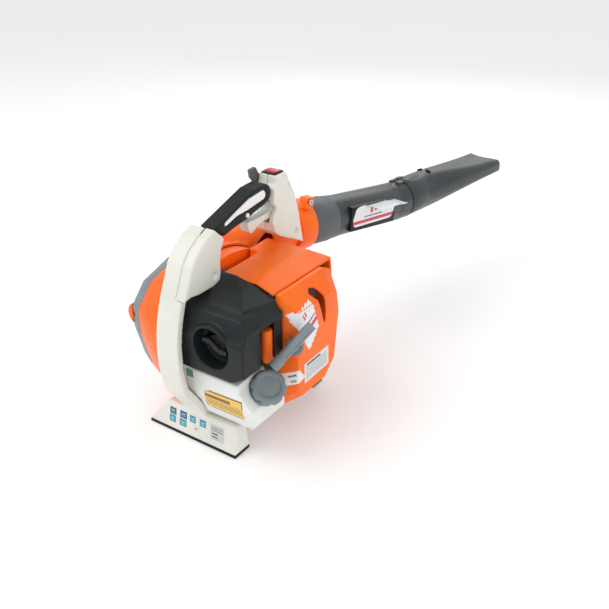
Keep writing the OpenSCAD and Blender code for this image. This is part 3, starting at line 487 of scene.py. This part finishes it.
black = (0.03, 0.03, 0.035)
red = (0.62, 0.06, 0.09)
labelLooks = {
    "warningPaper": dict(paper=(0.90, 0.58, 0.10), marks=[
        (0.0, 0.0, 1.0, 0.05, (0.14, 0.10, 0.03), 0), (0.0, 0.95, 1.0, 1.0, (0.14, 0.10, 0.03), 0),
        (0.0, 0.0, 0.02, 1.0, (0.14, 0.10, 0.03), 0), (0.98, 0.0, 1.0, 1.0, (0.14, 0.10, 0.03), 0),
        (0.06, 0.14, 0.94, 0.66, (0.34, 0.20, 0.03), 7), (0.06, 0.70, 0.70, 0.84, (0.20, 0.12, 0.03), 0)]),
    "badgePaper": dict(paper=(0.80, 0.84, 0.86), marks=[
        (0.0, 0.12, 1.0, 0.28, red, 0), (0.40, 0.55, 0.46, 0.82, red, 0), (0.50, 0.60, 0.56, 0.86, red, 0),
        (0.24, 0.36, 0.70, 0.44, black, 9)]),
    "sidePaper": dict(paper=(0.84, 0.84, 0.85), marks=[
        (0.0, 0.34, 1.0, 0.44, red, 0), (0.44, 0.66, 0.50, 0.80, red, 0), (0.54, 0.68, 0.60, 0.82, red, 0),
        (0.48, 0.50, 0.90, 0.56, black, 11)]),
    "platePaper": dict(paper=(0.78, 0.78, 0.77), marks=[
        (0.06, 0.10, 0.94, 0.78, (0.36, 0.40, 0.42), 9), (0.10, 0.82, 0.66, 0.92, black, 0)]),
    "iconPaper": dict(paper=(0.84, 0.82, 0.80), marks=[
        (0.28, 0.52, 0.76, 0.84, black, 4), (0.34, 0.16, 0.66, 0.46, (0.20, 0.20, 0.20), 3)]),
    "bluePaper": dict(paper=(0.035, 0.30, 0.42), marks=[(0.24, 0.22, 0.76, 0.72, (0.42, 0.66, 0.74), 3)]),
    "bluePaperDark": dict(paper=(0.020, 0.15, 0.24), marks=[(0.24, 0.28, 0.76, 0.76, (0.36, 0.58, 0.68), 3)]),
    "banPaper": dict(paper=(0.78, 0.70, 0.70), marks=[(0.30, 0.30, 0.70, 0.72, (0.18, 0.10, 0.10), 3)]),
    "ratingPaper": dict(paper=(0.60, 0.61, 0.59), marks=[
        (0.08, 0.58, 0.92, 0.92, (0.24, 0.25, 0.25), 6), (0.14, 0.16, 0.58, 0.46, black, 4)]),
    "greenMark": dict(paper=(0.10, 0.36, 0.16), marks=[(0.35, 0.3, 0.65, 0.7, (0.14, 0.42, 0.20), 0)]),
    # painted shade for the grooves and slots in the orange shells: the orange as it looks in shadow
    "grooveShade": dict(paper=(0.12, 0.012, 0.003)),
    # painted shadow in the seam between the frame and the tank, dark red from the orange around it
    "slotShade": dict(paper=(0.020, 0.004, 0.002)),
}
for name, look in labelLooks.items():
    finishes[name] = labelFinish(name, look)


# the film starts clear of the shell, and reaches it along its own facing
filmLook = dict(clear=30, reach=60, cornerCuts=((0.29, 0.5), (0.55, 0.0), (0.29, -0.5)), cornerShare=1.6)


def layLabel(name, corners, onNode, finish, rounded=0.0, lift=0.25, steps=26):
    # corners in mm run round the label from its upper left; the film is cut from a grid and pressed on
    points = [Vector(c) * mm for c in corners]
    centre = sum(points, Vector()) / len(points)
    a, b, c, d = points[::len(points) // 4][:4]
    across = (b - a + c - d).normalized()
    facing = across.cross(a - d + b - c).normalized()
    upward = facing.cross(across)
    wide = max(abs((p - centre).dot(across)) for p in points) * 2
    tall = max(abs((p - centre).dot(upward)) for p in points) * 2
    bpy.ops.object.select_all(action="DESELECT")
    bpy.ops.mesh.primitive_grid_add(x_subdivisions=steps, y_subdivisions=steps, size=1)
    film = bpy.context.object
    film.name = name
    turn = Matrix((across, upward, facing)).transposed().to_4x4()
    stretch = Matrix.Diagonal((wide, tall, 1, 1))
    film.matrix_world = Matrix.Translation(centre + facing * filmLook["clear"] * mm) @ turn @ stretch
    lone(film)
    bpy.ops.object.transform_apply(location=True, rotation=True, scale=True)
    bpy.ops.object.mode_set(mode="EDIT")
    for i, point in enumerate(points):
        edge = points[(i + 1) % len(points)] - point
        bpy.ops.mesh.select_all(action="SELECT")
        bpy.ops.mesh.bisect(plane_co=point, plane_no=facing.cross(edge), clear_outer=True)
    if rounded:
        for i, point in enumerate(points):
            toNext = (points[(i + 1) % len(points)] - point).normalized()
            toLast = (points[i - 1] - point).normalized()
            for reach, tilt in filmLook["cornerCuts"]:
                away = -(toNext * (1 + tilt) + toLast * (1 - tilt)).normalized()
                bpy.ops.mesh.select_all(action="SELECT")
                cut = point - away * rounded * mm * reach * filmLook["cornerShare"]
                bpy.ops.mesh.bisect(plane_co=cut, plane_no=away, clear_outer=True)
    bpy.ops.object.mode_set(mode="OBJECT")
    base = shellPieces.get(onNode, nodes[onNode])
    applyModifier(film, "SHRINKWRAP", {"target": base, "wrap_method": "PROJECT", "offset": lift * mm,
                                       "use_negative_direction": True, "use_positive_direction": False,
                                       "project_limit": filmLook["reach"] * mm})
    lone(film)
    bpy.ops.object.shade_smooth()
    return dress(film, bodyOf[onNode], finish)


def discCorners(centre, upward, radius, count=20):
    # a round label in the XZ plane, from its upper left corner round
    points = []
    for i in range(count):
        turn = math.radians(135 - i * 360 / count)
        offset = Vector((1, 0, 0)) * math.cos(turn) + Vector(upward) * math.sin(turn)
        points.append(Vector(centre) + offset * radius)
    return points


labels = {
    "tankWarning": dict(on="fuel_tank", finish="warningPaper",
                        corners=[(18.9, -137.2, 98.7), (75.7, -137, 102.8),
                                 (68.8, -127, 68.9), (11.8, -127.1, 68.8)]),
    "sideBadge": dict(on="starter_cover", finish="sidePaper",
                      corners=[(87.5, -62, 193.2), (98.6, -25.6, 201.1),
                               (104, -12, 160), (103.6, -32.6, 134.4)]),
    "sidePlate": dict(on="starter_cover", finish="platePaper",
                      corners=[(104.2, -41.6, 117.8), (104.4, 11, 118.6),
                               (104.3, 14.4, 90.5), (104.3, -41.7, 88.3)]),
    "sideIcon": dict(on="starter_cover", finish="iconPaper",
                     corners=[(85.8, -62.6, 108), (104.5, -55.3, 115.5),
                              (104.5, -53.1, 96.2), (89.6, -61.6, 90.9)]),
    "footBlueA": dict(on="rear_frame", finish="bluePaperDark",
                      corners=[(-58, -125.6, 37.5), (-48, -125.6, 37.5), (-49, -127, 27), (-59, -127, 27)]),
    "footBlueB": dict(on="rear_frame", finish="bluePaper",
                      corners=[(-59, -127, 25.5), (-49, -127, 25.5), (-50, -128, 15), (-60, -128, 15)]),
    "footBlueC": dict(on="rear_frame", finish="bluePaperDark",
                      corners=[(-40, -125.6, 38), (-29, -125.6, 38), (-30, -127, 27), (-41, -127, 27)]),
    "footBlueD": dict(on="rear_frame", finish="bluePaper",
                      corners=[(-41, -127, 25.5), (-30, -127, 25.5), (-31, -128, 15), (-42, -128, 15)]),
    "footRating": dict(on="rear_frame", finish="ratingPaper",
                       corners=[(13.8, -126.1, 38), (34.4, -125.8, 38),
                                (32.2, -127.9, 15), (11.5, -128.2, 15)]),
    "tubePaper": dict(on="label_plate", finish="badgePaper", rounded=4,
                      corners=[(9.3, 241.2, 221.1), (29, 331, 215.6), (28.4, 327, 183), (7.4, 235.2, 188.8)]),
}
footLean = (0, 0.1, 1)
discs = {
    "footDiscA": dict(on="rear_frame", centre=(-18.8, -126.3, 32), upward=footLean,
                      radius=5.2, finish="bluePaper"),
    "footDiscB": dict(on="rear_frame", centre=(-1.4, -126.3, 32), upward=footLean,
                      radius=5.4, finish="bluePaper"),
    "footRing": dict(on="rear_frame", centre=(-12.8, -127.6, 19), upward=footLean,
                     radius=5.2, finish="banPaper"),
    "tankMark": dict(on="fuel_tank", centre=(-6.5, -137.4, 116), upward=(0, 0, 1),
                     radius=5.5, finish="greenMark"),
}
for name, label in labels.items():
    layLabel(name, label["corners"], label["on"], label["finish"], label.get("rounded", 0))
for name, disc in discs.items():
    corners = discCorners(disc["centre"], disc["upward"], disc["radius"])
    layLabel(name, corners, disc["on"], disc["finish"], steps=12)

# part lines and slots are dark strips of painted shade let into the shells: points in mm, width in mm
strips = {
    "shroudLine": dict(on="engine_shroud", finish="grooveShade", width=0.8, points=[
        (19.9, 23.7, 231.3), (37.5, 21.7, 229.7), (61.7, 18, 222.6), (65.4, 43, 221.9)]),
    "shroudSlot": dict(on="engine_shroud", finish="grooveShade", width=1.3, points=[
        (60, 30.6, 224.1), (60.2, 49.4, 223.1)]),
    "coolingLineA": dict(on="starter_cover", finish="grooveShade", width=1.6, points=[
        (92.8, 11.6, 206.8), (104, 6.2, 195), (104, 9, 179.3)]),
    "coolingLineB": dict(on="starter_cover", finish="grooveShade", width=1.3, points=[
        (96, 18, 204), (104, 15, 193), (104, 17, 184)]),
    # painted shadow in the gap between the cream frame and the white tank
    "frameSeamShadow": dict(on="fuel_tank", finish="slotShade", width=0.7, points=[
        (-15.5, -137, 121), (-14, -135, 92), (-6, -128, 70)]),
}
for name, strip in strips.items():
    points = [Vector(p) for p in strip["points"]]
    for i, (first, last) in enumerate(zip(points, points[1:])):
        run = (last - first).normalized()
        upright = abs(run.z) >= 0.5
        side = Vector((0, 1, 0)) if upright else Vector((0, 0, 1)).cross(run).normalized()
        side = side * strip["width"] / 2
        layLabel(f"{name}{i}", [first - side, last - side, last + side, first + side],
                 strip["on"], strip["finish"], lift=0.2, steps=14)
print("labels laid:", len(labels) + len(discs))


# a dark ring and two catches at each end of the tube joint
def tubeRing(name, centre, way, radius, wide, body, finish):
    bpy.ops.object.select_all(action="DESELECT")
    turn = Vector((0, 0, 1)).rotation_difference(way).to_euler()
    bpy.ops.mesh.primitive_cylinder_add(vertices=96, radius=radius * mm, depth=wide * mm,
                                        location=centre, rotation=turn)
    ring = bpy.context.object
    ring.name = name
    lone(ring)
    bpy.ops.object.transform_apply(location=True, rotation=True, scale=True)
    bpy.context.tool_settings.mesh_select_mode = (False, False, True)
    for face in ring.data.polygons:
        face.select = abs(face.normal.dot(way)) > 0.9
    bpy.ops.object.mode_set(mode="EDIT")
    bpy.ops.mesh.delete(type="ONLY_FACE")
    bpy.ops.object.mode_set(mode="OBJECT")
    applyModifier(ring, "SOLIDIFY", {"thickness": 1.2 * mm, "offset": -1.0})
    roundEdges(ring, 0.25 * mm, 2, 50)
    smoothShade(ring)
    return dress(ring, body, finish)


def catchBlock(size):
    # one catch, its long side across X and its sloped face up
    bpy.ops.object.select_all(action="DESELECT")
    bpy.ops.mesh.primitive_cube_add(size=1)
    block = bpy.context.object
    block.scale = [s * mm for s in size]
    lone(block)
    bpy.ops.object.transform_apply(location=True, rotation=True, scale=True)
    bpy.context.tool_settings.mesh_select_mode = (False, False, True)
    for face in block.data.polygons:
        face.select = face.normal.z > 0.9
    bpy.ops.object.mode_set(mode="EDIT")
    bpy.ops.mesh.inset(thickness=1.0 * mm, depth=0.9 * mm)
    bpy.ops.object.mode_set(mode="OBJECT")
    roundEdges(block, 0.5 * mm, 3)
    smoothShade(block)
    return block


ringLook = dict(radius=33.0, wide=1.6, ahead=1.2)
catchLook = dict(radius=32.4, size=(9, 4.5, 2.4), stations=(8, 71), lean=(-24, 10))
tubeRing("jointRing", bendEnd + nozzleWay * ringLook["ahead"] * mm, nozzleWay, ringLook["radius"],
         ringLook["wide"], "nozzle_body", "charcoalTrim")
firstCatch = catchBlock(catchLook["size"])
for i, station in enumerate(catchLook["stations"]):
    for j, lean in enumerate(catchLook["lean"]):
        up = Matrix.Rotation(math.radians(lean), 3, nozzleWay) @ nozzleUp
        spot = bendEnd + nozzleWay * station * mm + up * catchLook["radius"] * mm
        piece = bpy.data.objects.new(f"jointCatch{i}{j}", firstCatch.data.copy())
        bpy.context.scene.collection.objects.link(piece)
        turn = Matrix((nozzleWay.cross(up), nozzleWay, up)).transposed().to_4x4()
        piece.data.transform(Matrix.Translation(spot) @ turn)
        dress(piece, "nozzle_body", "charcoalTrim")
bpy.data.objects.remove(firstCatch)

# the starter cord: a short piece in its bush at rest, along the pull direction
pull = joints["cord_pull"]
pullWay = Vector(pull["axis"]).normalized()
pullFrom = Vector(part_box("rope_bush")[0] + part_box("rope_bush")[1]) / 2
cordLook = dict(width=3.0, back=2.0, reach=11.0)
cordStart = pullFrom + pullWay * cordLook["back"] * mm
cordEnd = pullFrom + pullWay * cordLook["reach"] * mm
bpy.ops.object.select_all(action="DESELECT")
cordTurn = Vector((0, 0, 1)).rotation_difference(pullWay).to_euler()
bpy.ops.mesh.primitive_cylinder_add(vertices=20, radius=cordLook["width"] / 2 * mm,
                                    depth=(cordEnd - cordStart).length,
                                    location=(cordStart + cordEnd) / 2, rotation=cordTurn)
cordPiece = bpy.context.object
cordPiece.name = "starterCord"
lone(cordPiece)
bpy.ops.object.transform_apply(location=True, rotation=True, scale=True)
bpy.ops.object.mode_set(mode="EDIT")
bpy.ops.mesh.select_all(action="SELECT")
bpy.ops.mesh.subdivide(number_cuts=6)
bpy.ops.object.mode_set(mode="OBJECT")
cordFinish = Finish("cordBraid")
twill = cordFinish.node("ShaderNodeTexWave", {"bands_direction": "DIAGONAL"},
                        {"Vector": cordFinish.place, "Scale": 420, "Distortion": 2}, 1)
cordFinish.wear(cordFinish.blend(twill, (0.62, 0.62, 0.60), (0.34, 0.34, 0.33)), 0.8, twill, 0.3 * mm)
finishes["cordBraid"] = cordFinish
cordPiece.data.materials.append(cordFinish.material)
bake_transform(cordPiece)
print("joint ring, catches and cord added")

# floor, light and camera
stageLook = dict(floorTone=(0.97, 0.97, 0.97), floorGlow=0.10,
                 skyTone=(1.0, 1.0, 1.0), skyPower=0.76)
bpy.ops.mesh.primitive_plane_add(size=12, location=(0, 0, 0))
floor = bpy.context.object
floor.name = "floor"
ground = Finish("paleFloor")
ground.wear(ground.blend(ground.noise(3, 2), stageLook["floorTone"], (0.95, 0.95, 0.95)), 0.9)
ground.shader.inputs["Emission Color"].default_value = (1, 1, 1, 1)
ground.shader.inputs["Emission Strength"].default_value = stageLook["floorGlow"]
floor.data.materials.append(ground.material)
world = bpy.data.worlds.new("studio")
bpy.context.scene.world = world
world.use_nodes = True
world.node_tree.nodes["Background"].inputs[0].default_value = (*stageLook["skyTone"], 1)
world.node_tree.nodes["Background"].inputs[1].default_value = stageLook["skyPower"]
bpy.context.scene.view_settings.view_transform = "Standard"
lamps = {
    "keyLamp": dict(place=(-0.9, -0.9, 1.9), aim=(0, 0.1, 0.15), size=1.4, power=15),
    "fillLamp": dict(place=(1.9, -0.7, 1.0), aim=(0, 0.1, 0.15), size=1.6, power=6),
    "rimLamp": dict(place=(-0.6, 1.8, 1.3), aim=(0, 0.1, 0.2), size=1.2, power=6),
}
for name, lamp in lamps.items():
    bpy.ops.object.light_add(type="AREA", location=lamp["place"])
    light = bpy.context.object
    light.name = name
    light.data.size = lamp["size"]
    light.data.energy = lamp["power"]
    light.rotation_euler = (Vector(lamp["aim"]) - Vector(lamp["place"])).to_track_quat("-Z", "Y").to_euler()
view = dict(place=(0.5565, -0.7137, 0.6347), down=28, turn=34, lens=44.33)
viewTurn = (math.radians(90 - view["down"]), 0, math.radians(view["turn"]))
bpy.ops.object.camera_add(location=view["place"], rotation=viewTurn)
camera = bpy.context.object
camera.data.lens = view["lens"]
camera.data.sensor_width = 36
camera.data.clip_start = 0.01
bpy.context.scene.camera = camera
print("stage set")
